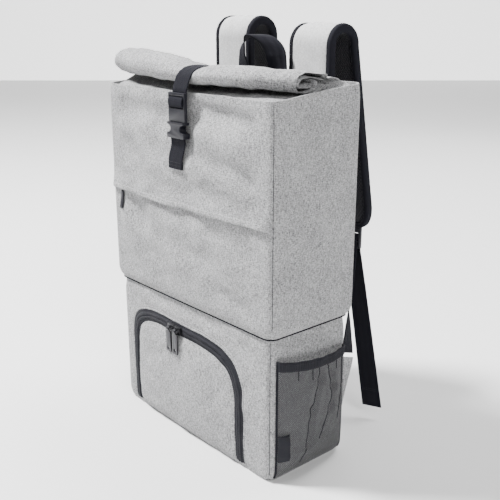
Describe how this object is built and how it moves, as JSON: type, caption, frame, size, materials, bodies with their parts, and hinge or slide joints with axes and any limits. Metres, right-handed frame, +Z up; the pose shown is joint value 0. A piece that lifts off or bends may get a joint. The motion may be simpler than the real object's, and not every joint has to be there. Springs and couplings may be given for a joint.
{
  "type": "cooler backpack",
  "caption": "Tall roll-top backpack in light grey fabric over a padded cooler compartment with an arched zip door, mesh side pockets and padded shoulder straps.",
  "frame": {"origin": "centre of the bag's bounding box on the surface it stands on", "axes": "+Z up along the height, -Y out of the front with the arched door, +X to the right seen from the front"},
  "size_m": [0.318, 0.224, 0.5011],
  "materials": {
    "grey_fabric": "heathered plain weave, matt",
    "black_webbing": "ribbed webbing, matt",
    "zip_tape": "woven zip tape with a moulded coil",
    "grey_metal": "satin",
    "mesh_fabric": "open knitted mesh",
    "black_elastic": "ribbed elastic",
    "black_label": "smooth woven label, blank",
    "spacer_mesh": "honeycomb spacer mesh",
    "black_binding": "ribbed binding tape",
    "black_plastic": "fine satin moulding"
  },
  "bodies": {
    "bag": {"upper_body": "grey_fabric", "roll_collar": "grey_fabric", "pocket_flap": "grey_fabric", "pocket_zip_pull": "black_webbing", "lower_body": "grey_fabric", "cooler_door": "grey_fabric", "door_zipper": "zip_tape", "door_slider_left": "grey_metal", "door_slider_right": "grey_metal", "mesh_pocket_left": "mesh_fabric", "mesh_pocket_right": "mesh_fabric", "pocket_elastic_left": "black_elastic", "pocket_elastic_right": "black_elastic", "side_label": "black_label", "strap_face_left": "grey_fabric", "strap_face_right": "grey_fabric", "strap_mesh_left": "spacer_mesh", "strap_mesh_right": "spacer_mesh", "strap_binding_left": "black_binding", "strap_binding_right": "black_binding", "wing_tab_left": "grey_fabric", "wing_tab_right": "grey_fabric", "strap_lock_left": "black_plastic", "strap_lock_right": "black_plastic", "strap_webbing_left": "black_webbing", "strap_webbing_right": "black_webbing", "grab_handle": "black_webbing", "buckle_slide": "black_plastic", "buckle_socket": "black_plastic", "closure_strap": "black_webbing", "anchor_webbing": "black_webbing"},
    "left_zip_pull": {"door_pull_left": "grey_metal"},
    "right_zip_pull": {"door_pull_right": "grey_metal"}
  },
  "joints": [
    {"name": "left_zip_pull_swing", "type": "hinge", "parent": "bag", "child": "left_zip_pull", "pos_m": [-0.0265, -0.07103, 0.138], "axis": [-1, 0, 0], "range_deg": [0, 150]},
    {"name": "right_zip_pull_swing", "type": "hinge", "parent": "bag", "child": "right_zip_pull", "pos_m": [-0.0135, -0.07113, 0.138], "axis": [-1, 0, 0], "range_deg": [0, 150]}
  ]
}
